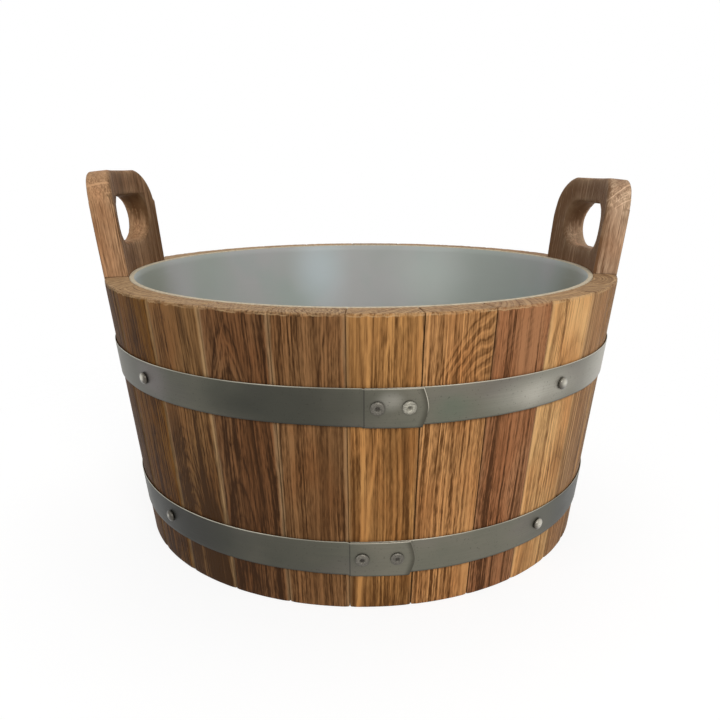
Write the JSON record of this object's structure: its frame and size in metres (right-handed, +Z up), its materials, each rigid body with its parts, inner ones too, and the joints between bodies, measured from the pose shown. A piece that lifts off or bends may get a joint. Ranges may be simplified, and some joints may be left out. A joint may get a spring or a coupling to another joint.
{
  "type": "wooden wash tub",
  "caption": "Low coopered oak tub with upright handle staves, flat riveted steel hoops and a plastic basin that lifts out.",
  "frame": {"origin": "middle of the foot, on the surface the tub stands on", "axes": "+Z up, X through the two handles, -Y towards the side where the hoops are riveted"},
  "size_m": [0.4266, 0.4098, 0.2848],
  "materials": {
    "stave_oak": "oiled oak, open grain",
    "handle_oak": "oiled oak, sanded, rounded edges",
    "board_oak": "planed oak, plain",
    "hoop_steel": "satin strip, lightly marked",
    "rivet_steel": "satin, drawn mandrel ends",
    "pin_steel": "polished domes",
    "insert_plastic": "smooth moulded, pale cut edge"
  },
  "bodies": {
    "tub": {"front_stave_1": "stave_oak", "front_stave_2": "stave_oak", "front_stave_3": "stave_oak", "front_stave_4": "stave_oak", "front_stave_5": "stave_oak", "front_stave_6": "stave_oak", "front_stave_7": "stave_oak", "front_stave_8": "stave_oak", "front_stave_9": "stave_oak", "front_stave_10": "stave_oak", "front_stave_11": "stave_oak", "back_stave_1": "stave_oak", "back_stave_2": "stave_oak", "back_stave_3": "stave_oak", "back_stave_4": "stave_oak", "back_stave_5": "stave_oak", "back_stave_6": "stave_oak", "back_stave_7": "stave_oak", "back_stave_8": "stave_oak", "back_stave_9": "stave_oak", "back_stave_10": "stave_oak", "right_handle_stave": "handle_oak", "left_handle_stave": "handle_oak", "bottom_board_1": "board_oak", "bottom_board_2": "board_oak", "bottom_board_3": "board_oak", "bottom_board_4": "board_oak", "bottom_board_5": "board_oak", "upper_hoop": "hoop_steel", "lower_hoop": "hoop_steel", "upper_hoop_rivets": "rivet_steel", "lower_hoop_rivets": "rivet_steel", "upper_hoop_pins": "pin_steel", "lower_hoop_pins": "pin_steel"},
    "basin": {"insert": "insert_plastic"}
  },
  "joints": [
    {"name": "insert_lift", "type": "slide", "parent": "tub", "child": "basin", "axis": [0, 0, 1], "range_m": [0, 0.26]}
  ]
}
